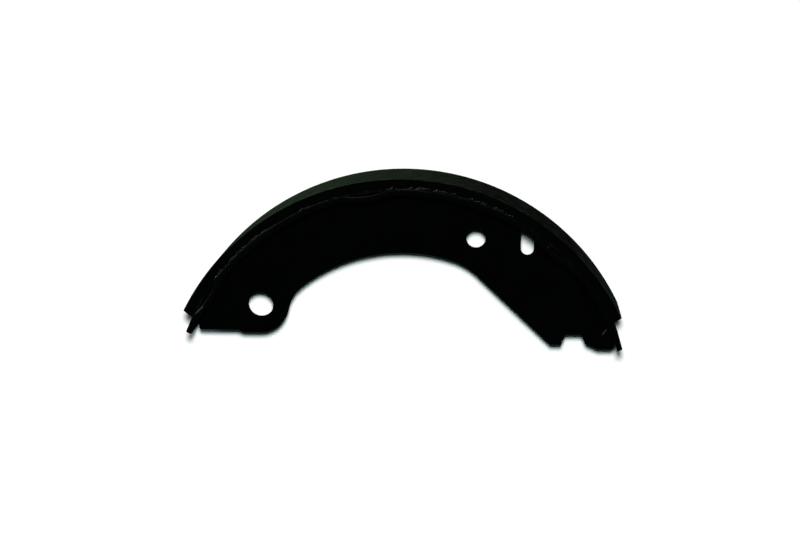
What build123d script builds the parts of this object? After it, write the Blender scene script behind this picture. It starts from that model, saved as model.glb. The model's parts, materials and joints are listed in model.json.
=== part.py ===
"""Brake shoe of a drum brake: a stamped web, a rolled table welded round it and a bonded lining."""
from build123d import *
import os
from math import asin, cos, degrees, hypot, radians, sin, sqrt

# Driving sizes, in millimetres. Angles are in degrees from the crown, positive to the toe (+X).
# The shoe lies on its side: the drum's axis is parallel to Z and the crown is towards +Y.
drum_radius = 115.0
lining_width = 40.0
lining_thickness = 5.0
lining_heel_angle = -63.8
lining_toe_angle = 64.3

bond_thickness = 0.2

table_thickness = 2.6
table_ledge = 0.8
table_heel_angle = -68.0
table_toe_angle = 71.5

web_thickness = 5.0
web_depth = 29.9

match_tolerance = 0.001

# Sizes that follow from the driving ones
bond_radius = drum_radius - lining_thickness
table_outer_radius = bond_radius - bond_thickness
table_inner_radius = table_outer_radius - table_thickness
table_width = lining_width + table_ledge + table_ledge
web_inner_radius = table_inner_radius - web_depth
web_base = (table_width - web_thickness) / 2
web_top = web_base + web_thickness

# Web: heel end with the anchor hole. An inset is how far inside the table's inner face a centre lies.
heel_edge_angle = -66.1
heel_edge_length = 4.35
heel_foot_length = 19.0
heel_step_run = 2.6
heel_corner_radius = 1.4
heel_step_radius = 1.5
anchor_hole_angle = -53.0
anchor_hole_inset = 21.7
anchor_hole_diameter = 12.3
anchor_lobe_radius = 13.55
lobe_blend_radius = 20.0

# Web: straight back towards the toe, square to this direction
back_angle = 43.4
back_depth = 34.5
back_blend_radius = 30.0

# Web: toe end. Rises are counted from the foot that the piston bears on.
toe_edge_angle = 70.9
toe_edge_length = 3.8
toe_foot_length = 8.2
toe_corner_radius = 2.5
toe_flat_rise = 2.1
toe_flat_corner_radius = 1.0

# Web: notch for the link
notch_distance = 19.8
notch_ramp_rise = 2.7
notch_floor_rise = 7.05
notch_floor_width = 7.6
notch_mouth_width = 11.6
notch_floor_radius = 1.2
notch_mouth_radius = 0.6

# Web: hold-down hole, lever slot and rolled edge
steady_hole_angle = 22.5
steady_hole_inset = 16.2
steady_hole_diameter = 9.2
lever_slot_angle = 36.8
lever_slot_inset = 8.2
lever_slot_width = 6.2
web_edge_radius = 0.4

# Table: tab corners, edges and the nibs pressed into both side edges
tab_corner_radius = 2.0
table_edge_radius = 0.5
nib_angles = (-57.5, -8.5, 40.5)
nib_depth = 2.0
nib_press_radius = 42.0
nib_reach = 6.0

# Lining: how far the outer corners lie back of a radial cut, and the rounding there
lining_heel_lean = 0.9
lining_toe_lean = 0.2
lining_end_radius = 0.3

# Adhesive squeezed out on the near ledge, between pairs of angles
bead_spans = ((-26.0, -15.5), (-2.0, 30.0))
bead_height = 1.7
bead_width = 0.6
bead_bulge = 0.15

# Weld beads in the corners between the web and the table
weld_angles = (-60.0, -43.0, -26.0, -9.0, 8.0, 25.0, 43.0, 60.0)
weld_length = 10.0
weld_leg = 1.8
weld_sag = 0.25


def around(radius, angle):
    """Point at a radius from the drum's axis and an angle from the crown."""
    return (radius * sin(radians(angle)), radius * cos(radians(angle)))


def arc_about(centre, radius, first, last):
    """Arc of a circle between two points on it, the short way round."""
    across = ((first[0] + last[0]) / 2 - centre[0], (first[1] + last[1]) / 2 - centre[1])
    scale = radius / hypot(*across)
    middle = (centre[0] + across[0] * scale, centre[1] + across[1] * scale)
    return ThreePointArc(first, middle, last)


def circle_meeting(centre_a, radius_a, centre_b, radius_b, side):
    """Where two circles meet, on the right (side 1) or left (side -1) of the way from a to b."""
    way = (centre_b[0] - centre_a[0], centre_b[1] - centre_a[1])
    distance = hypot(*way)
    along = (radius_a**2 - radius_b**2 + distance**2) / (2 * distance)
    off = sqrt(radius_a**2 - along**2) * side
    unit = (way[0] / distance, way[1] / distance)
    return (centre_a[0] + along * unit[0] + off * unit[1], centre_a[1] + along * unit[1] - off * unit[0])


def towards(start, end, distance):
    """Point at a distance from start, in the direction of end."""
    way = (end[0] - start[0], end[1] - start[1])
    scale = distance / hypot(*way)
    return (start[0] + way[0] * scale, start[1] + way[1] * scale)


def band(inner_radius, outer_radius, first, last):
    """Face of a ring sector about the drum's axis, first and last being (inner, outer) angles."""
    inner = (around(inner_radius, first[0]), around(inner_radius, last[0]))
    outer = (around(outer_radius, first[1]), around(outer_radius, last[1]))
    with BuildLine() as rim:
        arc_about((0, 0), outer_radius, *outer)
        arc_about((0, 0), inner_radius, *inner)
        Line(inner[0], outer[0])
        Line(inner[1], outer[1])
    make_face(rim.edges())


def on_radius(edge, radius):
    """Whether an edge's middle lies on a radius from the drum's axis."""
    middle = edge.position_at(0.5) - drum_plane.origin
    return abs(hypot(middle.X, middle.Y) - radius) < match_tolerance


def radial_plane(angle):
    """Plane through the drum's axis: its x runs outwards at the angle, its y along the axis."""
    outwards = around(1, angle)
    return Plane(
        origin=drum_plane.origin,
        x_dir=(outwards[0], outwards[1], 0),
        z_dir=(outwards[1], -outwards[0], 0),
    )


def angle_of(length, radius):
    """Angle that a short chord takes up at a radius."""
    return degrees(asin(length / radius))


# Row frame: origin at the centre of the whole shoe's outline, on the side that it lies on
lining_heel_outer_angle = lining_heel_angle + angle_of(lining_heel_lean, drum_radius)
lining_toe_outer_angle = lining_toe_angle - angle_of(lining_toe_lean, drum_radius)
heel_reach = min(
    around(drum_radius, lining_heel_outer_angle)[0],
    around(table_outer_radius, table_heel_angle)[0],
)
toe_reach = max(
    around(drum_radius, lining_toe_outer_angle)[0],
    around(table_outer_radius, table_toe_angle)[0],
)
toe_seat = around(table_inner_radius, toe_edge_angle)
toe_tip_y = toe_seat[1] - toe_edge_length
axis_x = -(heel_reach + toe_reach) / 2
axis_y = -(drum_radius + toe_tip_y) / 2
drum_plane = Plane(origin=(axis_x, axis_y, 0))
drum_axis = Axis((axis_x, axis_y, 0), (0, 0, -1))

# Web: heel and toe, worked out from where the web's ends meet the table
heel_seat = around(table_inner_radius, heel_edge_angle)
heel_flat_y = heel_seat[1] - heel_edge_length
heel_step_x = heel_seat[0] + heel_foot_length
toe_flat_y = toe_tip_y + toe_flat_rise
notch_x = toe_seat[0] - notch_distance
notch_floor_y = toe_tip_y + notch_floor_rise

# Web: tangent points of the inner edge
origin = (0, 0)
anchor_hole = around(table_inner_radius - anchor_hole_inset, anchor_hole_angle)
lobe_bottom = (anchor_hole[0], anchor_hole[1] - anchor_lobe_radius)
lobe_blend = circle_meeting(
    anchor_hole,
    anchor_lobe_radius + lobe_blend_radius,
    origin,
    web_inner_radius - lobe_blend_radius,
    -1,
)
lobe_end = towards(anchor_hole, lobe_blend, anchor_lobe_radius)
inner_start = towards(origin, lobe_blend, web_inner_radius)
back_normal = around(1, back_angle)
back_distance = table_inner_radius - back_depth
back_offset = sqrt((web_inner_radius - back_blend_radius) ** 2 - (back_distance - back_blend_radius) ** 2)
back_blend = (
    (back_distance - back_blend_radius) * back_normal[0] - back_offset * back_normal[1],
    (back_distance - back_blend_radius) * back_normal[1] + back_offset * back_normal[0],
)
inner_end = towards(origin, back_blend, web_inner_radius)
back_start = (
    back_blend[0] + back_blend_radius * back_normal[0],
    back_blend[1] + back_blend_radius * back_normal[1],
)
toe_flat_x = (back_distance - toe_flat_y * back_normal[1]) / back_normal[0]

# Web: stamped plate, seated in the table's inner face
with BuildPart() as web:
    with BuildSketch(drum_plane.offset(web_base)):
        with BuildLine():
            FilletPolyline(
                heel_seat,
                (heel_seat[0], heel_flat_y),
                (heel_step_x, heel_flat_y),
                (heel_step_x + heel_step_run, lobe_bottom[1]),
                lobe_bottom,
                radius=[heel_corner_radius, heel_step_radius, heel_step_radius],
            )
            arc_about(anchor_hole, anchor_lobe_radius, lobe_bottom, lobe_end)
            arc_about(lobe_blend, lobe_blend_radius, lobe_end, inner_start)
            arc_about(origin, web_inner_radius, inner_start, inner_end)
            arc_about(back_blend, back_blend_radius, inner_end, back_start)
            FilletPolyline(
                back_start,
                (toe_flat_x, toe_flat_y),
                (notch_x - notch_mouth_width / 2, toe_flat_y),
                (notch_x - notch_floor_width / 2, notch_floor_y),
                (notch_x + notch_floor_width / 2, notch_floor_y),
                (notch_x + notch_mouth_width / 2, toe_tip_y + notch_ramp_rise),
                (toe_seat[0] - toe_foot_length, toe_tip_y),
                (toe_seat[0], toe_tip_y),
                toe_seat,
                radius=[
                    toe_flat_corner_radius,
                    notch_mouth_radius,
                    notch_floor_radius,
                    notch_floor_radius,
                    notch_mouth_radius,
                    toe_flat_corner_radius,
                    toe_corner_radius,
                ],
            )
            arc_about(origin, table_inner_radius, heel_seat, toe_seat)
        make_face()
        with Locations(anchor_hole):
            Circle(anchor_hole_diameter / 2, mode=Mode.SUBTRACT)
        with Locations(around(table_inner_radius - steady_hole_inset, steady_hole_angle)):
            Circle(steady_hole_diameter / 2, mode=Mode.SUBTRACT)
        # The lever's slot has a round bottom and runs out under the table
        slot_bottom = around(table_inner_radius - lever_slot_inset, lever_slot_angle)
        slot_run = table_inner_radius - slot_bottom[1]
        with Locations(slot_bottom):
            Circle(lever_slot_width / 2, mode=Mode.SUBTRACT)
        with Locations((slot_bottom[0], slot_bottom[1] + slot_run / 2)):
            Rectangle(lever_slot_width, slot_run, mode=Mode.SUBTRACT)
    extrude(amount=web_thickness)
    blank_edges = web.faces().sort_by(Axis.Z)[-1].outer_wire().edges()
    rolled_edges = blank_edges.filter_by(lambda edge: not on_radius(edge, table_inner_radius))
    fillet(rolled_edges, radius=web_edge_radius)
web.part.label = "web"

# Nib: metal pushed in at the table's side edge, drawn at the crown about a drum axis at zero
nib_span = 2 * angle_of(sqrt(2 * nib_depth * nib_press_radius), table_inner_radius)
nib_centre = (0, table_outer_radius - nib_depth + nib_press_radius, 0)
nib_plane = Plane(origin=nib_centre, x_dir=(1, 0, 0), z_dir=(0, -1, 0))
nib_axis = Axis(nib_centre, (0, 0, 1))
boss_radius = nib_press_radius + table_thickness
with BuildPart() as nib:
    with BuildSketch():
        band(
            table_inner_radius - nib_depth,
            table_inner_radius + table_thickness / 2,
            (-nib_span, -nib_span),
            (nib_span, nib_span),
        )
    extrude(amount=nib_reach)
    with BuildSketch(nib_plane):
        with BuildLine():
            Polyline(
                (boss_radius, 0),
                (0, 0),
                (0, nib_reach),
                (boss_radius - nib_depth, nib_reach),
                (boss_radius, table_edge_radius),
                close=True,
            )
        make_face()
    revolve(axis=nib_axis, mode=Mode.INTERSECT)

# Nib: the hollow that the press leaves on the outer side, its rim rounded like the strip's edge
with BuildPart() as nib_hollow:
    with BuildSketch(nib_plane):
        with BuildLine():
            hollow_rim = (nib_press_radius, table_edge_radius)
            hollow_mouth = (nib_press_radius + table_edge_radius, 0)
            Polyline(
                hollow_mouth,
                (0, 0),
                (0, nib_reach),
                (nib_press_radius - nib_depth, nib_reach),
                hollow_rim,
            )
            RadiusArc(hollow_rim, hollow_mouth, -table_edge_radius)
        make_face()
    revolve(axis=nib_axis)

# Table: rolled strip, with nibs where its side edges ride on the backing plate
with BuildPart() as table:
    with BuildSketch(drum_plane):
        band(
            table_inner_radius,
            table_outer_radius,
            (table_heel_angle, table_heel_angle),
            (table_toe_angle, table_toe_angle),
        )
    extrude(amount=table_width / 2)
    side_edges = table.faces().sort_by(Axis.Z)[0].edges()
    fillet(side_edges.filter_by(GeomType.LINE), radius=tab_corner_radius)
    side_edges = table.faces().sort_by(Axis.Z)[0].edges()
    outer_edges = side_edges.filter_by(lambda edge: on_radius(edge, table_outer_radius))
    fillet(outer_edges, radius=table_edge_radius)
    for nib_angle in nib_angles:
        with Locations(drum_plane.location * Rot(0, 0, -nib_angle)):
            add(nib.part)
            add(nib_hollow.part, mode=Mode.SUBTRACT)
    mirror(about=Plane.XY.offset(table_width / 2))
table.part.label = "table"

# Lining: moulded friction block, ground to the drum's radius
with BuildPart() as lining:
    with BuildSketch(drum_plane.offset(table_ledge)):
        band(
            bond_radius,
            drum_radius,
            (lining_heel_angle, lining_heel_outer_angle),
            (lining_toe_angle, lining_toe_outer_angle),
        )
    extrude(amount=lining_width)
    end_edges = lining.edges().filter_by(Axis.Z).filter_by(lambda edge: on_radius(edge, drum_radius))
    fillet(end_edges, radius=lining_end_radius)
lining.part.label = "friction_lining"

# Adhesive: film under the lining, with what was squeezed out on the near ledge
with BuildPart() as adhesive:
    with BuildSketch(drum_plane.offset(table_ledge)):
        band(
            table_outer_radius,
            bond_radius,
            (lining_heel_angle, lining_heel_angle),
            (lining_toe_angle, lining_toe_angle),
        )
    extrude(amount=lining_width)
    bead_base = table_ledge + lining_width
    for first_angle, last_angle in bead_spans:
        with BuildSketch(radial_plane(first_angle)):
            with BuildLine():
                bead_foot = (table_outer_radius, bead_base)
                bead_lip = (table_outer_radius, bead_base + bead_width)
                bead_top = (table_outer_radius + bead_height, bead_base)
                Polyline(bead_lip, bead_foot, bead_top)
                SagittaArc(bead_lip, bead_top, bead_bulge)
            make_face()
        revolve(axis=drum_axis, revolution_arc=last_angle - first_angle)
adhesive.part.label = "adhesive"

# Weld beads: short fillets in both corners between the web and the table
weld_span = 2 * angle_of(weld_length / 2, table_inner_radius)
with BuildPart() as weld_beads:
    for weld_angle in weld_angles:
        with BuildSketch(radial_plane(weld_angle - weld_span / 2)):
            with BuildLine():
                weld_corner = (table_inner_radius, web_top)
                weld_inner = (table_inner_radius - weld_leg, web_top)
                weld_outer = (table_inner_radius, web_top + weld_leg)
                Polyline(weld_inner, weld_corner, weld_outer)
                SagittaArc(weld_inner, weld_outer, weld_sag)
            make_face()
        revolve(axis=drum_axis, revolution_arc=weld_span)
    mirror(about=Plane.XY.offset(table_width / 2))
weld_beads.part.label = "weld_beads"

os.makedirs("parts", exist_ok=True)
export_step(web.part, "parts/web.step")
export_step(table.part, "parts/table.step")
export_step(lining.part, "parts/friction_lining.step")
export_step(adhesive.part, "parts/adhesive.step")
export_step(weld_beads.part, "parts/weld_beads.step")
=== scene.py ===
"""Looks of a drum brake shoe that lies on its side, seen from above.

The shoe is described about the drum's axis, which is parallel to Z. An angle is counted from the
crown of the lining and is positive towards the toe, a radius is counted from the axis, and z from
the surface that the shoe lies on. Lengths are metres, and angles are radians unless a name ends in
deg.
"""
import json
import logging
from dataclasses import dataclass, field
from enum import Enum
from math import cos, pi, radians, sin
from typing import Any

import bpy
import numpy as np
from mathutils import Matrix, Vector


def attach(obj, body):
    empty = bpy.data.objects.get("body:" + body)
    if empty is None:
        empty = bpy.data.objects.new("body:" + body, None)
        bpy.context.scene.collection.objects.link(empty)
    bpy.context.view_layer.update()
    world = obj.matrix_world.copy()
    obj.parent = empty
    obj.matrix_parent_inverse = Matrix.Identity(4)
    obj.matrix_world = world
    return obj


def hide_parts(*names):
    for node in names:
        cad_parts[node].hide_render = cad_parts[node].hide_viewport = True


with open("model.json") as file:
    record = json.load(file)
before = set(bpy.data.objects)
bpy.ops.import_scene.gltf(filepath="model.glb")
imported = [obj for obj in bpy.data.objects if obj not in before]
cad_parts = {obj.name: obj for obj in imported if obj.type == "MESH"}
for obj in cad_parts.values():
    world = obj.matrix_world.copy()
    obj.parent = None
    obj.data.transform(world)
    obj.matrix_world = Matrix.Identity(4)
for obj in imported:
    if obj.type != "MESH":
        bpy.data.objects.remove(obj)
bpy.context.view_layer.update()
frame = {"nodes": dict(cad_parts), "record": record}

MM = 0.001
log = logging.getLogger("brake_shoe")

Colour = tuple[float, float, float]


class Side(Enum):
    """A side of the shoe, by the sign of its outward direction along Z."""

    LOWER = -1
    UPPER = 1


class Finish(Enum):
    """The record's material slots."""

    PAINT = "black_paint"
    FRICTION = "friction_material"
    ADHESIVE = "bonding_adhesive"


@dataclass(frozen=True)
class Drum:
    """The drum's axis and inner radius, in the row frame."""

    x: float
    y: float
    mid_z: float
    radius: float

    @classmethod
    def from_record(cls, record: dict[str, Any]) -> "Drum":
        """Reads the axis from the mount at the lining's crown.

        Args:
            record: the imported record.

        Returns:
            The drum, its axis one radius behind the crown.
        """
        face = next(m for m in record["mounts"] if m["name"] == "friction_face")
        radius = face["dims"]["r_mm"] * MM
        x, y, z = face["pos_m"]
        return cls(x, y - radius, z, radius)

    def points(self, radius: np.ndarray, angle: np.ndarray, z: np.ndarray) -> np.ndarray:
        """Places polar points in the row frame: x = sin(angle) r, y = cos(angle) r.

        Args:
            radius: distances from the axis.
            angle: angles from the crown.
            z: heights above the surface that the shoe lies on.

        Returns:
            An array with one more axis, of x, y and z.
        """
        radius, angle, z = np.broadcast_arrays(radius, angle, z)
        return np.stack([self.x + radius * np.sin(angle), self.y + radius * np.cos(angle), z], axis=-1)


def shell_quads(rings: int, loop: int) -> np.ndarray:
    """Quads of a closed shell: a closed loop of points, repeated in rings from end to end.

    Point i of a loop faces point loop - 1 - i across the section, so each end is closed by a
    ladder of quads between such pairs.

    Args:
        rings: how many loops there are.
        loop: how many points a loop has, an even number.

    Returns:
        An array of quads, each of four point numbers.
    """
    ring, point = np.meshgrid(np.arange(rings - 1), np.arange(loop), indexing="ij")
    near = ring * loop + point
    near_next = ring * loop + (point + 1) % loop
    wall = np.stack([near, near_next, near_next + loop, near + loop], axis=-1).reshape(-1, 4)
    rung = np.arange(loop // 2 - 1)
    first = np.stack([rung, loop - 1 - rung, loop - 2 - rung, rung + 1], axis=-1)
    last = first[:, ::-1] + (rings - 1) * loop
    return np.concatenate([wall, first, last])


def signed_volume(points: np.ndarray, quads: np.ndarray) -> float:
    """Volume inside a closed mesh, negative where its faces point inwards.

    It is the sum, over each quad's two triangles, of a . (b x c) / 6.

    Args:
        points: the mesh's points.
        quads: its faces, as numbers of points.

    Returns:
        The volume, in the points' units cubed.
    """
    a, b, c, d = (points[quads[:, i]] for i in range(4))
    halves = np.einsum("ij,ij->i", a, np.cross(b, c)) + np.einsum("ij,ij->i", a, np.cross(c, d))
    return float(halves.sum()) / 6


def mesh_object(name: str, points: np.ndarray, quads: np.ndarray, crease_deg: float) -> bpy.types.Object:
    """Makes an object of a closed mesh, smooth but for its creases.

    Args:
        name: the object's name.
        points: its points, in the row frame.
        quads: its faces, turned round here if they point inwards.
        crease_deg: the angle between faces past which an edge is sharp.

    Returns:
        The new object, at the origin.
    """
    if signed_volume(points, quads) < 0:
        quads = quads[:, ::-1]
    mesh = bpy.data.meshes.new(name)
    mesh.vertices.add(len(points))
    mesh.vertices.foreach_set("co", points.astype(np.float32).ravel())
    mesh.loops.add(quads.size)
    mesh.loops.foreach_set("vertex_index", quads.astype(np.int32).ravel())
    mesh.polygons.add(len(quads))
    mesh.polygons.foreach_set("loop_start", np.arange(0, quads.size, 4, dtype=np.int32))
    mesh.update(calc_edges=True)
    mesh.validate()
    mesh.shade_smooth()
    mesh.set_sharp_from_angle(angle=radians(crease_deg))
    piece = bpy.data.objects.new(name, mesh)
    bpy.context.scene.collection.objects.link(piece)
    return piece


def rounding(distance: np.ndarray, radius: np.ndarray | float) -> np.ndarray:
    """How far a rounded edge lies below its flat, at a distance from the edge.

    Within the radius it is r - sqrt(r^2 - (r - d)^2), and past it nothing.

    Args:
        distance: distances from the edge.
        radius: the rounding's radius.

    Returns:
        Depths below the flat.
    """
    short = np.clip(radius - distance, 0, radius)
    return radius - np.sqrt(np.maximum(np.square(radius) - np.square(short), 0))


def wander(angle: np.ndarray, seed: int, waves: tuple[float, ...]) -> np.ndarray:
    """An uneven line between -1 and 1: a mean of sines, whose phases come from the seed.

    Args:
        angle: where along the arc.
        seed: which line it is.
        waves: how many waves each sine has in a radian.

    Returns:
        The line's heights.
    """
    phases = np.random.default_rng(seed).uniform(0, 2 * pi, len(waves))
    return sum(np.sin(angle * wave + phase) for wave, phase in zip(waves, phases)) / len(waves)


def swell(angle: np.ndarray, first: float, last: float, fade: float) -> np.ndarray:
    """1 between two angles and 0 outside, with smooth steps 3t^2 - 2t^3 as wide as the fade.

    Args:
        angle: where along the arc.
        first: the angle at which it has half risen.
        last: the angle at which it has half fallen.
        fade: the angle that each step takes.

    Returns:
        Shares from 0 to 1.
    """
    rise = np.clip((angle - first) / fade + 0.5, 0, 1)
    fall = np.clip((last - angle) / fade + 0.5, 0, 1)
    share = np.minimum(rise, fall)
    return share * share * (3 - 2 * share)


def edge_steps(radius: float, reach: float, spans: tuple[int, int]) -> np.ndarray:
    """Distances from an edge: dense round its rounding as r (1 - cos t), then evenly to a reach.

    Args:
        radius: the rounding's radius.
        reach: the last distance.
        spans: how many spans lie within the radius, and how many past it.

    Returns:
        Distances, from nothing upwards.
    """
    dense, even = spans
    turn = np.linspace(0, pi / 2, dense + 1)
    return np.concatenate([radius * (1 - np.cos(turn)), np.linspace(radius, reach, even + 1)[1:]])


def places(first: float, last: float, steps: np.ndarray, spans: int) -> np.ndarray:
    """Places from first to last: the steps in from both ends, with even places between.

    Args:
        first: the first place.
        last: the last place.
        steps: distances from an end, from nothing upwards.
        spans: how many spans lie between the last steps of both ends.

    Returns:
        The places, in order.
    """
    near = first + steps
    far = last - steps[::-1]
    return np.concatenate([near, np.linspace(near[-1], far[0], spans + 1)[1:-1], far])


class Output:
    """An output socket in a node tree. Operators on a number's socket add Math nodes."""

    def __init__(self, graph: "Graph", socket: bpy.types.NodeSocket) -> None:
        """Keeps the socket and the tree that it is in."""
        self.graph = graph
        self.socket = socket

    def maths(self, operation: str, *others: "Output | float") -> "Output":
        """Adds a Math node on this number and others."""
        values = dict(enumerate((self, *others)))
        return self.graph.add("ShaderNodeMath", {"operation": operation}, values)

    def __add__(self, other: "Output | float") -> "Output":
        """self + other"""
        return self.maths("ADD", other)

    __radd__ = __add__

    def __mul__(self, other: "Output | float") -> "Output":
        """self * other"""
        return self.maths("MULTIPLY", other)

    __rmul__ = __mul__

    def __sub__(self, other: "Output | float") -> "Output":
        """self - other"""
        return self.maths("SUBTRACT", other)

    def __rsub__(self, other: float) -> "Output":
        """other - self"""
        return (self * -1) + other

    def __pow__(self, other: float) -> "Output":
        """self ** other"""
        return self.maths("POWER", other)

    def step(self, low: float, high: float, start: float = 0.0, end: float = 1.0) -> "Output":
        """Smooth step from start, at or below low, to end, at or above high."""
        return self.graph.add(
            "ShaderNodeMapRange",
            {"interpolation_type": "SMOOTHSTEP"},
            {"Value": self, "From Min": low, "From Max": high, "To Min": start, "To Max": end},
        )


class Graph:
    """A node tree under construction, with one method that adds any node."""

    def __init__(self, tree: bpy.types.NodeTree) -> None:
        """Empties the tree."""
        self.tree = tree
        tree.nodes.clear()

    def add(
        self,
        kind: str,
        settings: dict[str, Any] | None = None,
        inputs: dict[int | str, Any] | None = None,
        output: int | str = 0,
    ) -> Output:
        """Adds a node.

        Args:
            kind: the node's type.
            settings: its properties, set first.
            inputs: a value or a link for each of its sockets, by number or name.
            output: the socket that is returned.

        Returns:
            The output socket.
        """
        node = self.tree.nodes.new(kind)
        for name, value in (settings or {}).items():
            setattr(node, name, value)
        for name, value in (inputs or {}).items():
            if isinstance(value, Output):
                self.tree.links.new(value.socket, node.inputs[name])
            else:
                node.inputs[name].default_value = value
        return Output(self, node.outputs[output]) if node.outputs else Output(self, None)

    def part(self, vector: Output, name: str) -> Output:
        """One component, X, Y or Z, of a vector."""
        return self.add("ShaderNodeSeparateXYZ", inputs={0: vector}, output=name)

    def vector(self, x: Output | float, y: Output | float, z: Output | float) -> Output:
        """A vector of three numbers."""
        return self.add("ShaderNodeCombineXYZ", inputs={0: x, 1: y, 2: z})

    def noise(self, place: Output, scale: float, detail: float = 2.0, rough: float = 0.5) -> Output:
        """Noise between 0 and 1, with so many lumps in a unit of the place."""
        return self.add(
            "ShaderNodeTexNoise",
            {"noise_dimensions": "3D"},
            {"Vector": place, "Scale": scale, "Detail": detail, "Roughness": rough},
        )

    def cells(self, place: Output, scale: float) -> Output:
        """Distance to the nearest of scattered points, with so many in a unit of the place."""
        return self.add("ShaderNodeTexVoronoi", {"feature": "F1"}, {"Vector": place, "Scale": scale})

    def mix(self, share: Output | float, first: Any, second: Any) -> Output:
        """Colour that goes from the first to the second with the share."""
        return self.add(
            "ShaderNodeMix",
            {"data_type": "RGBA", "clamp_factor": True},
            {0: share, 6: opaque(first), 7: opaque(second)},
            output=2,
        )

    def bump(self, height: Output, distance: float) -> Output:
        """Normal of a relief, whose heights are counted in the distance."""
        return self.add("ShaderNodeBump", inputs={"Height": height, "Distance": distance})


def opaque(colour: Any) -> Any:
    """A colour with alpha 1, or a link as it is."""
    return colour if isinstance(colour, Output) else (*colour, 1.0)


class Coordinates:
    """Places on the shoe for its textures, in millimetres, from the object's own coordinates."""

    def __init__(self, graph: Graph, drum: Drum) -> None:
        """Adds the nodes.

        Args:
            graph: the material's nodes.
            drum: the axis that arcs are counted about.
        """
        self.graph = graph
        metres = graph.add("ShaderNodeTexCoord", output="Object")
        self.flat = graph.add("ShaderNodeVectorMath", {"operation": "SCALE"}, {0: metres, "Scale": 1 / MM})
        right = graph.part(self.flat, "X") - drum.x / MM
        outward = graph.part(self.flat, "Y") - drum.y / MM
        self.height = graph.part(self.flat, "Z")
        self.radius = (right * right + outward * outward) ** 0.5
        self.angle = right.maths("ARCTAN2", outward)
        self.arc = self.angle * (drum.radius / MM)
        self.round = graph.vector(self.arc, self.height, self.radius)

    def along(self, stretch: float) -> Output:
        """Places along the arc, squeezed so that a texture is stretched that many times."""
        return self.graph.vector(self.arc * (1 / stretch), self.height, self.radius)


def new_material(name: str) -> tuple[bpy.types.Material, Graph]:
    """An empty node material and its graph."""
    material = bpy.data.materials.new(name)
    material.use_nodes = True
    return material, Graph(material.node_tree)


def surface(graph: Graph, inputs: dict[str, Any]) -> None:
    """Ends a material in a Principled shader with the given sockets."""
    shader = graph.add("ShaderNodeBsdfPrincipled", inputs=inputs)
    graph.add("ShaderNodeOutputMaterial", inputs={"Surface": shader})


@dataclass(frozen=True)
class PaintedGlint:
    """A painted glint: a short light stroke in the paint's colour between two points, above a height, all
    in millimetres.
    """

    start: tuple[float, float]
    end: tuple[float, float]
    half_width: float
    lowest: float
    core_share: float = 0.5
    rise: float = 1.0

    def mask(self, graph: Graph, place: Coordinates) -> Output:
        """1 on the painted glint and 0 away from it.

        It is a smooth step of the distance |p - a - t u|, where a is the start, u the direction
        and t the place along it, kept between 0 and the length.

        Args:
            graph: the material's nodes.
            place: the places on the shoe.

        Returns:
            The mask.
        """
        run = Vector(self.end) - Vector(self.start)
        unit = run.normalized()
        right = graph.part(place.flat, "X") - self.start[0]
        forward = graph.part(place.flat, "Y") - self.start[1]
        along = (right * unit.x + forward * unit.y).maths("MAXIMUM", 0.0).maths("MINIMUM", run.length)
        off_right = right - along * unit.x
        off_forward = forward - along * unit.y
        distance = (off_right * off_right + off_forward * off_forward) ** 0.5
        near = distance.step(self.half_width * self.core_share, self.half_width, 1.0, 0.0)
        return near * place.height.step(self.lowest, self.lowest + self.rise)


@dataclass(frozen=True)
class BlackPaint:
    """Thin black dip paint on pressed steel: satin, with orange peel, dust nibs and three painted glints,
    light strokes in its colour at the toe, at a nib and at the heel.
    """

    name: str = "black_dip_paint"
    deep: Colour = (0.0004, 0.0006, 0.0005)
    dusty: Colour = (0.0011, 0.0014, 0.0012)
    glint_colour: Colour = (0.026, 0.028, 0.027)
    # Painted glints: on the web near the toe, on the pressed rim at the nib on the toe's side, and on the
    # rim at the heel's nib.
    painted_glints: tuple[PaintedGlint, PaintedGlint, PaintedGlint] = (
        PaintedGlint((94.8, -34.4), (96.6, -32.0), 0.40, 22.0),
        PaintedGlint((68.1, 10.3), (68.3, 10.4), 0.40, 39.5),
        PaintedGlint((-93.9, -19.4), (-97.2, -22.3), 0.45, 39.5),
    )
    specular: float = 0.16
    cloud_per_mm: float = 0.06
    grain_per_mm: float = 1.4
    peel_per_mm: float = 0.9
    peel_mm: float = 0.006
    sag_per_mm: float = 0.16
    sag_mm: float = 0.03
    nib_per_mm: float = 0.22
    nib_mm: float = 0.05

    def build(self, drum: Drum) -> bpy.types.Material:
        """Makes the material.

        Args:
            drum: the axis that arcs are counted about.

        Returns:
            The material.
        """
        material, graph = new_material(self.name)
        place = Coordinates(graph, drum)
        cloud = graph.noise(place.flat, self.cloud_per_mm, 3.0, 0.6)
        grain = graph.noise(place.flat, self.grain_per_mm, 3.0, 0.6)
        peel = graph.noise(place.flat, self.peel_per_mm, 2.0)
        sag = graph.noise(place.flat, self.sag_per_mm, 1.0)
        speck = graph.cells(place.flat, self.nib_per_mm).step(0.05, 0.12, 1.0, 0.0)
        dust = cloud.step(0.35, 0.75) * grain.step(0.35, 0.7)
        height = peel * self.peel_mm + sag * self.sag_mm + speck * self.nib_mm
        # Masks of the painted glints at the toe, at the nib and at the heel.
        toe, nib, heel = (painted_glint.mask(graph, place) for painted_glint in self.painted_glints)
        whole = graph.mix(dust, self.deep, self.dusty)
        surface(graph, {
            # Dusty paint, with the painted glints laid over it in a lighter colour.
            "Base Color": graph.mix((toe + nib + heel) * grain.step(0.2, 0.5), whole, self.glint_colour),
            "Roughness": cloud.step(0.3, 0.7, 0.26, 0.36) + grain.step(0.42, 0.62) * 0.30,
            "Specular IOR Level": self.specular,
            "Normal": graph.bump(height, MM),
        })
        return material


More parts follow.
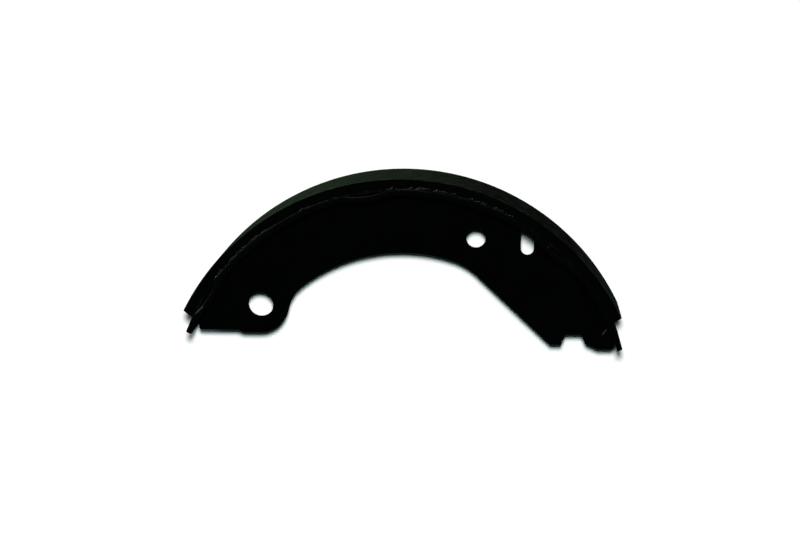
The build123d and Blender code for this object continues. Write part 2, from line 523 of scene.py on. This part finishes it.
@dataclass(frozen=True)
class FrictionCompound:
    """Ground friction compound, bare where the wheel ran and painted over on its other sides.

    The ground face lies on the drum's radius, so the distance from the axis tells it from the
    rest. The cut compound shows light and dark grains and the wheel's marks along the arc. Along
    the arc its colour carries painted light and shade: lighter and greener towards the heel, which
    faces the light, darker and browner past the crown and greyer at the toe.
    """

    name: str = "ground_friction_compound"
    # Tones along the arc with painted light and shade: lit at the heel, darkest on the flank past the
    # crown.
    heel_shading_tone: Colour = (0.0168, 0.0270, 0.0160)
    crown_shading_tone: Colour = (0.0088, 0.0146, 0.0086)
    crown_fade_deg: tuple[float, float] = (-26.0, 0.0)
    flank_shading_tone: Colour = (0.0032, 0.0034, 0.0029)
    flank_fade_deg: tuple[float, float] = (2.0, 23.0)
    toe_shading_tone: Colour = (0.0100, 0.0135, 0.0125)
    toe_fade_deg: tuple[float, float] = (42.0, 62.0)
    pale_grain: Colour = (0.040, 0.052, 0.038)
    dark_grain: Colour = (0.0010, 0.0016, 0.0010)
    painted: Colour = (0.0005, 0.0007, 0.0006)
    paint_edge_mm: float = 0.35
    paint_fade_mm: float = 0.06
    paint_wave_mm: float = 0.25
    paint_wave_per_mm: float = 0.5
    mark_per_mm: float = 1.0
    mark_stretch: float = 7.0
    blotch_per_mm: float = 0.42
    blotch_stretch: float = 1.6
    fleck_per_mm: float = 0.45
    fleck_stretch: float = 1.5
    grain_per_mm: float = 1.3
    grain_mm: float = 0.05
    mark_mm: float = 0.025

    def build(self, drum: Drum) -> bpy.types.Material:
        """Makes the material.

        Args:
            drum: the axis that arcs are counted about.

        Returns:
            The material.
        """
        material, graph = new_material(self.name)
        place = Coordinates(graph, drum)
        marks = graph.noise(place.along(self.mark_stretch), self.mark_per_mm, 4.0, 0.7)
        blotches = graph.noise(place.along(self.blotch_stretch), self.blotch_per_mm, 3.0, 0.6)
        grains = graph.noise(place.round, self.grain_per_mm, 3.0, 0.7)
        flecks = graph.cells(place.along(self.fleck_stretch), self.fleck_per_mm)
        flecks = flecks * grains.step(0.35, 0.65, 0.8, 2.6)
        # The bare face starts from the painted light and shade along the arc.
        bare = self.tone(graph, place)
        for share, colour in (
            (blotches.step(0.45, 0.75) * 0.22, self.pale_grain),
            (blotches.step(0.55, 0.25) * 0.35, self.dark_grain),
            (marks.step(0.48, 0.70) * 0.25, self.pale_grain),
            (marks.step(0.52, 0.32) * 0.52, self.dark_grain),
            (grains.step(0.55, 0.75) * 0.6, self.dark_grain),
            (flecks.step(0.12, 0.22, 0.5, 0.0), self.pale_grain),
        ):
            bare = graph.mix(share, bare, colour)
        edge = drum.radius / MM - self.paint_edge_mm
        waves = graph.noise(place.round, self.paint_wave_per_mm, 2.0)
        wavy = place.radius + (waves - 0.5) * self.paint_wave_mm
        ground = wavy.step(edge - self.paint_fade_mm, edge + self.paint_fade_mm)
        relief = grains * self.grain_mm + marks * self.mark_mm
        surface(graph, {
            "Base Color": graph.mix(ground, self.painted, bare),
            "Roughness": ground.step(0.0, 1.0, 0.6, 0.95),
            "Specular IOR Level": 0.0,
            "Coat Weight": (1 - ground) * 0.15,
            "Coat Roughness": 0.4,
            "Normal": graph.bump(relief, MM),
        })
        return material

    def tone(self, graph: Graph, place: Coordinates) -> Output:
        """The compound's colour along the arc, with painted light and shade: lit towards the heel, shaded
        past the crown.

        Args:
            graph: the material's nodes.
            place: the places on the shoe.

        Returns:
            The colour.
        """
        colour = self.heel_shading_tone
        for following, (first, last) in (
            (self.crown_shading_tone, self.crown_fade_deg),
            (self.flank_shading_tone, self.flank_fade_deg),
            (self.toe_shading_tone, self.toe_fade_deg),
        ):
            colour = graph.mix(place.angle.step(radians(first), radians(last)), colour, following)
        return colour


@dataclass(frozen=True)
class CuredAdhesive:
    """Dark cured adhesive: glossy, lumpy, with fine bubbles at its skin."""

    name: str = "cured_adhesive"
    deep: Colour = (0.0006, 0.0008, 0.0006)
    skin: Colour = (0.0020, 0.0026, 0.0020)
    specular: float = 0.45
    film_per_mm: float = 0.45
    lump_per_mm: float = 1.2
    lump_mm: float = 0.15
    bubble_per_mm: float = 1.6
    bubble_mm: float = 0.02

    def build(self, drum: Drum) -> bpy.types.Material:
        """Makes the material.

        Args:
            drum: the axis that arcs are counted about.

        Returns:
            The material.
        """
        material, graph = new_material(self.name)
        place = Coordinates(graph, drum)
        lumps = graph.noise(place.flat, self.lump_per_mm, 2.0, 0.6)
        film = graph.noise(place.flat, self.film_per_mm, 3.0)
        bubbles = graph.cells(place.flat, self.bubble_per_mm).step(0.1, 0.3, 1.0, 0.0)
        surface(graph, {
            "Base Color": graph.mix(film.step(0.4, 0.7), self.deep, self.skin),
            "Roughness": film.step(0.42, 0.62, 0.13, 0.55),
            "Specular IOR Level": self.specular,
            "Normal": graph.bump(lumps * self.lump_mm + bubbles * self.bubble_mm, MM),
        })
        return material


@dataclass(frozen=True)
class Nibs:
    """Half-moons pressed into both side edges of the table, which ride on the backing plate."""

    angles_deg: tuple[float, ...] = (-57.5, -8.5, 40.5)
    depth: float = 2.0 * MM
    press_radius: float = 42.0 * MM
    reach: float = 6.0 * MM
    blend: float = 0.3 * MM
    deepest_share: float = 1.2
    span: float = pi / 8

    def push(self, angle: np.ndarray, from_edge: np.ndarray, outer_radius: float) -> np.ndarray:
        """How far the strip is pushed in towards the axis.

        The tool is round, its flank leans in with the distance from the edge, and it meets the
        ray at an angle a from its middle where r = c cos(a) - sqrt(R^2 - c^2 sin(a)^2). What
        stands inside the strip is s = outer radius - r, softened to (s + sqrt(s^2 + b^2)) / 2.

        Args:
            angle: angles from the crown.
            from_edge: distances from the nearer side edge.
            outer_radius: the strip's outer radius.

        Returns:
            Distances, nothing away from the nibs.
        """
        centre = outer_radius - self.depth + self.press_radius
        flank = self.press_radius - self.depth * np.clip(from_edge / self.reach, 0, self.deepest_share)
        total = np.zeros(np.broadcast(angle, from_edge).shape)
        for middle in np.radians(self.angles_deg):
            off = np.clip(angle - middle, -self.span, self.span)
            under = np.square(flank) - np.square(centre * np.sin(off))
            radius = centre * np.cos(off) - np.sqrt(np.maximum(under, 0))
            stands_in = np.where(under > 0, outer_radius - radius, -self.depth)
            soft = (stands_in + np.hypot(stands_in, self.blend)) / 2
            total += np.maximum(soft - (np.hypot(self.depth, self.blend) - self.depth) / 2, 0)
        return total


@dataclass
class Table:
    """The rolled steel strip that carries the lining."""

    drum: Drum
    width: float = 41.6 * MM
    outer_radius: float = 109.8 * MM
    thickness: float = 2.6 * MM
    heel_deg: float = -68.0
    toe_deg: float = 71.5
    corner_radius: float = 2.0 * MM
    end_radius: float = 0.51 * MM
    rolled_radius: float = 0.2 * MM
    pressed_radius: float = 0.5 * MM
    sheared_radius: float = 0.15 * MM
    crease_deg: float = 50.0
    edge_spans: tuple[int, int] = (8, 14)
    middle_spans: int = 6
    end_spans: tuple[int, int] = (6, 2)
    rings: int = 620
    nibs: Nibs = field(default_factory=Nibs)

    @property
    def inner_radius(self) -> float:
        """Radius of the face that the web is welded to."""
        return self.outer_radius - self.thickness

    def build(self) -> bpy.types.Object:
        """Makes the strip as one shell.

        At each place across the width the outer face is r = R - edge rounding - nib push, the
        inner face is r = R - thickness + its own rounding - nib push, and the ends are pulled
        back near the edges to round the tabs' corners. The edge is rounder where it is pressed.

        Returns:
            The strip.
        """
        steps = edge_steps(self.pressed_radius, self.nibs.reach + self.nibs.blend, self.edge_spans)
        z = places(-self.width / 2, self.width / 2, steps, self.middle_spans)
        from_edge = self.width / 2 - np.abs(z)
        pull = rounding(from_edge, self.corner_radius) / self.outer_radius
        first = radians(self.heel_deg) + pull
        last = radians(self.toe_deg) - pull
        length = self.outer_radius * radians(self.toe_deg - self.heel_deg)
        ends = edge_steps(self.end_radius, 2 * self.end_radius, self.end_spans) / length
        share = places(0, 1, ends, self.rings - 1)
        from_end = np.minimum(share, 1 - share)[:, None] * length
        angle = first + share[:, None] * (last - first)
        push = self.nibs.push(angle, from_edge, self.outer_radius)
        pressed = np.clip(push[:, :1] / self.nibs.depth, 0, 1)
        rolled = self.rolled_radius + (self.pressed_radius - self.rolled_radius) * pressed
        outer = self.outer_radius - rounding(from_edge, rolled) - push - rounding(from_end, self.end_radius)
        inner = self.inner_radius + rounding(from_edge, self.sheared_radius) - push
        inner = inner + rounding(from_end, self.sheared_radius)
        loop_angle = np.concatenate([angle, angle[:, ::-1]], axis=1)
        loop_z = np.concatenate([z, z[::-1]]) + self.drum.mid_z
        loop_radius = np.concatenate([outer, inner[:, ::-1]], axis=1)
        points = self.drum.points(loop_radius, loop_angle, loop_z)
        quads = shell_quads(*loop_radius.shape)
        return mesh_object("table_strip", points.reshape(-1, 3), quads, self.crease_deg)


@dataclass
class Lining:
    """The friction block bonded to the table, ground to the drum's radius."""

    drum: Drum
    width: float = 40.0 * MM
    thickness: float = 5.0 * MM
    heel_deg: float = -63.8
    heel_lean: float = 0.9 * MM
    toe_deg: float = 64.3
    toe_lean: float = 0.2 * MM
    end_radius: float = 0.3 * MM
    edge_radius: float = 0.22 * MM
    crumble: float = 0.14 * MM
    crumble_seed: int = 7
    crumble_waves: tuple[float, ...] = (60.0, 143.0, 310.0, 720.0)
    crease_deg: float = 45.0
    edge_reach: float = 1.2 * MM
    edge_spans: tuple[int, int] = (5, 2)
    middle_spans: int = 10
    end_spans: tuple[int, int] = (6, 3)
    rings: int = 720

    @property
    def bond_radius(self) -> float:
        """Radius of the bonded face."""
        return self.drum.radius - self.thickness

    def build(self) -> bpy.types.Object:
        """Makes the block as one shell.

        The outer face is r = R - edge rounding - end rounding. The edge's radius wanders along
        the arc, because the compound crumbles a little where it is ground.

        Returns:
            The block.
        """
        steps = edge_steps(self.edge_radius + self.crumble, self.edge_reach, self.edge_spans)
        z = places(-self.width / 2, self.width / 2, steps, self.middle_spans)
        from_edge = self.width / 2 - np.abs(z)
        length = self.drum.radius * radians(self.toe_deg - self.heel_deg)
        ends = edge_steps(self.end_radius, 2 * self.end_radius, self.end_spans) / length
        share = places(0, 1, ends, self.rings - 1)
        bonded = radians(self.heel_deg) + share * radians(self.toe_deg - self.heel_deg)
        first = radians(self.heel_deg) + self.heel_lean / self.drum.radius
        last = radians(self.toe_deg) - self.toe_lean / self.drum.radius
        ground = first + share * (last - first)
        from_end = np.minimum(share, 1 - share)[:, None] * length
        wear = wander(ground, self.crumble_seed, self.crumble_waves)
        edge = self.edge_radius + self.crumble * wear
        outer = self.drum.radius - rounding(from_edge[None, :], edge[:, None])
        outer = outer - rounding(from_end, self.end_radius)
        inner = np.full_like(outer, self.bond_radius)
        angle = np.repeat(np.stack([ground, bonded], axis=1), len(z), axis=1)
        loop_z = np.concatenate([z, z[::-1]]) + self.drum.mid_z
        points = self.drum.points(np.concatenate([outer, inner], axis=1), angle, loop_z)
        quads = shell_quads(*angle.shape)
        return mesh_object("lining_block", points.reshape(-1, 3), quads, self.crease_deg)


@dataclass(frozen=True)
class Squeezed:
    """A stretch where adhesive came out, between two angles, with its height and width."""

    first_deg: float
    last_deg: float
    tall: float
    wide: float


@dataclass
class Adhesive:
    """The bonding film under the lining and what was squeezed out on both ledges."""

    drum: Drum
    table: Table
    lining: Lining
    stretches: tuple[Squeezed, ...] = (
        Squeezed(-53.0, -32.0, 0.75 * MM, 0.50 * MM),
        Squeezed(-26.0, -15.5, 0.30 * MM, 0.14 * MM),
        Squeezed(-3.0, 13.0, 1.20 * MM, 0.52 * MM),
        Squeezed(13.0, 29.0, 0.95 * MM, 0.40 * MM),
    )
    low: float = 0.18 * MM
    thin: float = 0.12 * MM
    least: float = 0.04 * MM
    widest: float = 0.72 * MM
    film_least: float = 0.03 * MM
    fade_deg: float = 2.5
    lower_lag_deg: float = 9.0
    pocket_fill_share: float = 0.45
    lump_waves: tuple[float, ...] = (23.0, 51.0, 97.0, 171.0)
    ripple_waves: tuple[float, ...] = (240.0, 410.0, 655.0)
    fillet_shares: tuple[float, float, float] = (0.65, 0.50, 0.25)
    height_shares: tuple[float, float, float] = (0.60, 0.85, 0.30)
    width_shares: tuple[float, float, float] = (0.75, 0.55, 0.20)
    lower_seed: int = 19
    upper_seed: int = 21
    ripple_seed_step: int = 5
    crease_deg: float = 60.0
    film_points: int = 8
    rings: int = 1400
    turns: int = 7

    def build(self) -> bpy.types.Object:
        """Makes the film and both beads as one shell.

        A bead's section is a quarter of an oval, r = r0 + h cos(t) and z = z0 + w sin(t), whose
        height h and width w wander along the arc and swell where adhesive was squeezed out.

        Returns:
            The adhesive.
        """
        angle = np.linspace(radians(self.lining.heel_deg), radians(self.lining.toe_deg), self.rings)
        half = self.lining.width / 2
        turn = np.linspace(0, pi / 2, self.turns)
        z_rows, top_rows = [], []
        for side in Side:
            height, width = self.bead(angle, side)
            z_bead = half + width[:, None] * np.sin(turn)
            top = self.lining.bond_radius + height[:, None] * np.cos(turn)
            z_rows.append(side.value * z_bead)
            top_rows.append(top)
        film_z = np.linspace(-half, half, self.film_points)
        film = np.repeat(film_z[None, :], self.rings, 0)
        z = np.concatenate([z_rows[0][:, ::-1], film, z_rows[1]], axis=1)
        level = np.full_like(film, self.lining.bond_radius)
        top = np.concatenate([top_rows[0][:, ::-1], level, top_rows[1]], axis=1)
        from_edge = self.table.width / 2 - np.abs(z)
        push = self.table.nibs.push(angle[:, None], from_edge, self.table.outer_radius)
        bottom = self.table.outer_radius - push * self.pocket_fill_share
        top = np.maximum(top, bottom + self.film_least)
        loop_angle = np.repeat(angle[:, None], 2 * z.shape[1], 1)
        loop_z = np.concatenate([z, z[:, ::-1]], axis=1) + self.drum.mid_z
        radius = np.concatenate([top, bottom[:, ::-1]], axis=1)
        points = self.drum.points(radius, loop_angle, loop_z)
        quads = shell_quads(*radius.shape)
        return mesh_object("squeezed_adhesive", points.reshape(-1, 3), quads, self.crease_deg)

    def bead(self, angle: np.ndarray, side: Side) -> tuple[np.ndarray, np.ndarray]:
        """Height and width of one side's bead along the arc.

        A thin fillet runs everywhere but at the nibs, and the stretches stand on it. On the lower
        side they come a little nearer the heel. All of it varies with lumps and ripples, and its
        shares are those of an even part, of the lumps and of the ripples.

        Args:
            angle: angles from the crown.
            side: which side's bead.

        Returns:
            The height above the bonded face and the width on the ledge.
        """
        seed = self.upper_seed if side is Side.UPPER else self.lower_seed
        lumps = wander(angle, seed, self.lump_waves)
        ripples = wander(angle, seed + self.ripple_seed_step, self.ripple_waves)
        varied = np.stack([np.ones_like(angle), lumps, ripples], axis=-1)
        nibs = self.table.nibs
        pressed = nibs.push(angle, np.zeros(1), self.table.outer_radius) / nibs.depth
        fillet = (1 - np.clip(2 * pressed, 0, 1)) * (varied @ self.fillet_shares)
        height, width = self.low * fillet, self.thin * fillet
        place = angle + radians(self.lower_lag_deg) * (1 - side.value) / 2
        for part in self.stretches:
            share = swell(place, radians(part.first_deg), radians(part.last_deg), radians(self.fade_deg))
            height = height + share * part.tall * (varied @ self.height_shares)
            width = width + share * part.wide * (varied @ self.width_shares)
        return np.maximum(height, self.least), np.clip(width, self.least, self.widest)


@dataclass
class WeldBeads:
    """Short welds in both corners between the web and the table."""

    drum: Drum
    table: Table
    web_thickness: float = 5.0 * MM
    angles_deg: tuple[float, ...] = (-60.0, -43.0, -26.0, -9.0, 8.0, 25.0, 43.0, 60.0)
    length: float = 10.0 * MM
    leg: float = 1.8 * MM
    sag: float = 0.25 * MM
    least: float = 0.02 * MM
    ripples: float = 9.0
    ripple_share: float = 0.04
    uneven_share: float = 0.10
    uneven_seed: int = 3
    uneven_waves: tuple[float, ...] = (1.0, 2.3, 3.1)
    uneven_stretch: float = 3.0
    uneven_shift: float = 40.0
    crease_deg: float = 60.0
    rings: int = 40
    turns: int = 11

    def build(self) -> bpy.types.Object:
        """Makes all beads as one mesh of separate shells.

        Returns:
            The beads.
        """
        shells = [self.bead(radians(a), side) for side in Side for a in self.angles_deg]
        quads = shell_quads(self.rings, self.turns + 1)
        faces = [self.outward(shell, quads) + i * len(shell) for i, shell in enumerate(shells)]
        return mesh_object("weld_seam", np.concatenate(shells), np.concatenate(faces), self.crease_deg)

    @staticmethod
    def outward(points: np.ndarray, quads: np.ndarray) -> np.ndarray:
        """The quads, turned round where the shell's faces point inwards."""
        return quads if signed_volume(points, quads) > 0 else quads[:, ::-1]

    def bead(self, middle: float, side: Side) -> np.ndarray:
        """Points of one bead.

        The section goes from the web's face to the table's as a leg turned through a quarter,
        with a crown of sag sin(2t), closed in the corner. Its size falls to nothing at the ends
        as sqrt(1 - u^6), and ripples run along it.

        Args:
            middle: the bead's angle.
            side: which corner it lies in.

        Returns:
            Its points, ring by ring.
        """
        u = np.linspace(-1, 1, self.rings)[:, None]
        turn = np.linspace(0, pi / 2, self.turns)[None, :]
        phase = middle * self.uneven_shift + u * self.uneven_stretch
        uneven = 1 + self.uneven_share * wander(phase, self.uneven_seed, self.uneven_waves)
        ripple = 1 + self.ripple_share * np.sin(u * pi * self.ripples)
        size = self.leg * (np.sqrt(np.maximum(1 - u**6, 0)) * uneven * ripple)
        straight = 1 / (np.sin(turn) + np.cos(turn))
        reach = (size + self.least) * straight + self.sag * np.sin(2 * turn) * size / self.leg
        inward = np.concatenate([reach * np.cos(turn), np.zeros_like(size)], axis=1)
        away = np.concatenate([reach * np.sin(turn), np.zeros_like(size)], axis=1)
        half_web = self.web_thickness / 2
        z = self.drum.mid_z + side.value * (half_web + away)
        angle = middle + u * self.length / 2 / self.table.inner_radius
        return self.drum.points(self.table.inner_radius - inward, angle, z).reshape(-1, 3)


@dataclass(frozen=True)
class SideLamp:
    """A soft lamp, far off in one direction and low, that draws glints."""

    name: str
    bearing_deg: float
    level: float
    height_deg: float = 5.0
    softness_deg: float = 12.0
    backdrop_rim_share: float = 0.86
    backdrop_core_share: float = 0.985

    def build(self) -> bpy.types.Object:
        """Makes the lamp.

        Its bearing is counted from +Y towards +X, and its level is the brightness that a white
        face turned to it would have.

        Returns:
            The lamp's object.
        """
        light = bpy.data.lights.new(self.name, "SUN")
        light.energy = self.level * pi
        light.angle = radians(self.softness_deg)
        lamp = bpy.data.objects.new(self.name, light)
        bearing, height = radians(self.bearing_deg), radians(self.height_deg)
        towards = Vector((sin(bearing) * cos(height), cos(bearing) * cos(height), sin(height)))
        lamp.rotation_euler = towards.to_track_quat("Z", "Y").to_euler()
        bpy.context.scene.collection.objects.link(lamp)
        return lamp

    def nearness(self, graph: Graph, direction: Output) -> Output:
        """How near a direction's bearing is to the lamp's: 0 past the backdrop's rim, 1 in its core."""
        bearing = radians(self.bearing_deg)
        level = graph.part(direction, "X") * sin(bearing) + graph.part(direction, "Y") * cos(bearing)
        return level.step(self.backdrop_rim_share, self.backdrop_core_share)


@dataclass(frozen=True)
class TopLamp:
    """Two oval lamps just above the camera, whose shadow falls straight down in the picture.

    The nearer one is cool and the farther one warm, and together they are white. The farther
    one's shadow is longer, so the shadow's soft edge is lit by the cool one and looks cool.
    """

    foot: tuple[float, float] = (0.048, 0.254)
    height: float = 0.979
    wide: float = 0.09
    tall: float = 0.07
    apart: float = 0.05
    level: float = 1.0
    cool: Colour = (0.46, 0.54, 0.54)

    def build(self) -> list[bpy.types.Object]:
        """Makes the lamps, which face straight down.

        A flat lamp of power P at height h lights a white floor below it to P / (pi^2 h^2). Both
        lamps are kept out of reflections, so that the flat web stays dark.

        Returns:
            The lamps' objects.
        """
        warm = tuple(1 - share for share in self.cool)
        return [self.half("cool_lamp", -1, self.cool), self.half("warm_lamp", 1, warm)]

    def half(self, name: str, side: int, share: Colour) -> bpy.types.Object:
        """Makes one of the lamps.

        Args:
            name: its name.
            side: -1 for the nearer one and 1 for the farther one.
            share: its part of the red, green and blue light.

        Returns:
            The lamp's object.
        """
        light = bpy.data.lights.new(name, "AREA")
        light.shape = "ELLIPSE"
        light.size = self.wide
        light.size_y = self.tall
        light.color = share
        light.energy = self.level * (pi * self.height) ** 2
        lamp = bpy.data.objects.new(name, light)
        lamp.location = (self.foot[0], self.foot[1] + side * self.apart / 2, self.height)
        lamp.visible_glossy = False
        bpy.context.scene.collection.objects.link(lamp)
        return lamp

    def fading(self, graph: Graph) -> Output:
        """How many times darker the floor is at a place than at the lamp's foot.

        At a distance r from the foot it is (1 + r^2 / h^2)^2.

        Args:
            graph: the floor's nodes.

        Returns:
            The number of times.
        """
        place = graph.add("ShaderNodeTexCoord", output="Object")
        right = graph.part(place, "X") - self.foot[0]
        forward = graph.part(place, "Y") - self.foot[1]
        return ((right * right + forward * forward) * self.height**-2 + 1.0) ** 2


@dataclass(frozen=True)
class Studio:
    """Pale floor, white background, light from above and two low lamps on the crown's side."""

    floor_radius: float = 0.6
    floor_points: int = 96
    floor_colour: float = 0.9
    ambient: float = 0.016
    sky_tone: Colour = (0.72, 1.1, 1.07)
    overhead_glow: float = 0.008
    far_glow: float = 0.06
    top_lamp: TopLamp = field(default_factory=TopLamp)
    side_lamps: tuple[SideLamp, SideLamp] = (
        SideLamp("heel_lamp", -52.0, 0.24),
        SideLamp("crown_lamp", 2.0, 0.17),
    )

    def build(self) -> bpy.types.Object:
        """Makes the lamps, the world and the floor.

        Returns:
            The floor, which isn't part of the shoe.
        """
        self.top_lamp.build()
        for lamp in self.side_lamps:
            lamp.build()
        self.world()
        return self.floor()

    def world(self) -> None:
        """White for the camera and for what shines through, soft and slightly cool for the rest.

        Reflections see the white background just above the horizon behind both side lamps, and
        a dark studio overhead, below and elsewhere.
        """
        world = bpy.data.worlds.new("studio")
        world.use_nodes = True
        bpy.context.scene.world = world
        graph = Graph(world.node_tree)
        seen = graph.add("ShaderNodeLightPath", output="Is Camera Ray")
        through = graph.add("ShaderNodeLightPath", output="Is Transmission Ray")
        mirrored = graph.add("ShaderNodeLightPath", output="Is Glossy Ray")
        direction = graph.add("ShaderNodeTexCoord", output="Generated")
        first, second = (lamp.nearness(graph, direction) for lamp in self.side_lamps)
        upward = graph.part(direction, "Z")
        low = upward.step(0.2, 0.75, 1.0, 0.0) * upward.step(-0.15, 0.05)
        backdrop = low * (first + second + self.far_glow) + self.overhead_glow
        white = seen.maths("MAXIMUM", through)
        strength = white.maths("MAXIMUM", mirrored * backdrop) + (1 - white) * (1 - mirrored) * self.ambient
        tone = graph.mix(white, self.sky_tone, (1.0, 1.0, 1.0))
        sky = graph.add("ShaderNodeBackground", inputs={"Color": tone, "Strength": strength})
        graph.add("ShaderNodeOutputWorld", inputs={"Surface": sky})

    def floor(self) -> bpy.types.Object:
        """Makes the round floor at the height that the shoe lies on.

        Its points are at (R cos t, R sin t, 0). The camera sees it evenly white up to its rim,
        where it ends in the white background.

        Returns:
            The floor.
        """
        turn = np.linspace(0, 2 * pi, self.floor_points + 1)[:-1]
        rim = np.stack([np.cos(turn), np.sin(turn), np.zeros_like(turn)], axis=-1) * self.floor_radius
        mesh = bpy.data.meshes.new("floor")
        mesh.from_pydata(rim.tolist(), [], [list(range(len(rim)))])
        floor = bpy.data.objects.new("floor", mesh)
        bpy.context.scene.collection.objects.link(floor)
        material, graph = new_material("pale_floor")
        seen = graph.add("ShaderNodeLightPath", output="Is Camera Ray")
        even = self.top_lamp.fading(graph)
        white = graph.mix(seen, (self.floor_colour,) * 3, graph.vector(even, even, even))
        paper = graph.add("ShaderNodeBsdfDiffuse", inputs={"Color": white})
        graph.add("ShaderNodeOutputMaterial", inputs={"Surface": paper})
        mesh.materials.append(material)
        floor.visible_glossy = False
        return floor


@dataclass(frozen=True)
class Viewpoint:
    """The photograph's camera, placed about the middle of the drum's axis."""

    pitch_deg: float = 9.643
    yaw_deg: float = -3.002
    distance_share: float = 8.553
    right_share: float = 0.0116
    up_share: float = -0.6027
    lens_mm: float = 91.57
    sensor_mm: float = 36.0

    def build(self, drum: Drum) -> bpy.types.Object:
        """Makes the camera.

        Its own axes come from the pitch and the yaw, and it stands off from the axis by shares
        of the drum's radius.

        Args:
            drum: the axis that it looks at.

        Returns:
            The camera.
        """
        pitch, yaw = radians(self.pitch_deg), radians(self.yaw_deg)
        right = Vector((cos(yaw), 0.0, sin(yaw)))
        up = Vector((sin(pitch) * sin(yaw), cos(pitch), -sin(pitch) * cos(yaw)))
        back = Vector((-cos(pitch) * sin(yaw), sin(pitch), cos(pitch) * cos(yaw)))
        stand = back * self.distance_share - right * self.right_share - up * self.up_share
        data = bpy.data.cameras.new("camera")
        data.lens = self.lens_mm
        data.sensor_width = self.sensor_mm
        camera = bpy.data.objects.new("camera", data)
        place = Vector((drum.x, drum.y, drum.mid_z)) + stand * drum.radius
        turn = Matrix((right, up, back)).transposed().to_4x4()
        camera.matrix_world = Matrix.Translation(place) @ turn
        bpy.context.scene.collection.objects.link(camera)
        bpy.context.scene.camera = camera
        return camera


@dataclass
class Shoe:
    """The whole brake shoe, dressed."""

    drum: Drum
    materials: dict[Finish, bpy.types.Material] = field(default_factory=dict)

    def mix_finishes(self) -> None:
        """Makes a material for each finish."""
        self.materials = {
            Finish.PAINT: BlackPaint().build(self.drum),
            Finish.FRICTION: FrictionCompound().build(self.drum),
            Finish.ADHESIVE: CuredAdhesive().build(self.drum),
        }

    def dress(self, piece: bpy.types.Object, finish: Finish, node: str) -> None:
        """Gives a new piece its material and its place in the frame.

        Args:
            piece: the piece.
            finish: its finish.
            node: the node that it stands for.
        """
        piece.data.materials.append(self.materials[finish])
        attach(piece, "root")
        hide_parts(node)
        log.info("made %s for %s: %d faces", piece.name, node, len(piece.data.polygons))

    def build(self) -> None:
        """Makes and dresses every piece."""
        self.mix_finishes()
        table = Table(self.drum)
        lining = Lining(self.drum)
        self.dress(table.build(), Finish.PAINT, "table")
        self.dress(lining.build(), Finish.FRICTION, "friction_lining")
        self.dress(Adhesive(self.drum, table, lining).build(), Finish.ADHESIVE, "adhesive")
        self.dress(WeldBeads(self.drum, table).build(), Finish.PAINT, "weld_beads")
        web = frame["nodes"]["web"]
        web.material_slots[0].material = self.materials[Finish.PAINT]
        log.info("painted the web")


def main() -> None:
    """Builds the camera, the shoe and the studio."""
    logging.basicConfig(level=logging.INFO, format="%(name)s: %(message)s")
    drum = Drum.from_record(frame["record"])
    bpy.context.scene.view_settings.view_transform = "Standard"
    Viewpoint().build(drum)
    Shoe(drum).build()
    Studio().build()


if __name__ == "__main__":
    main()
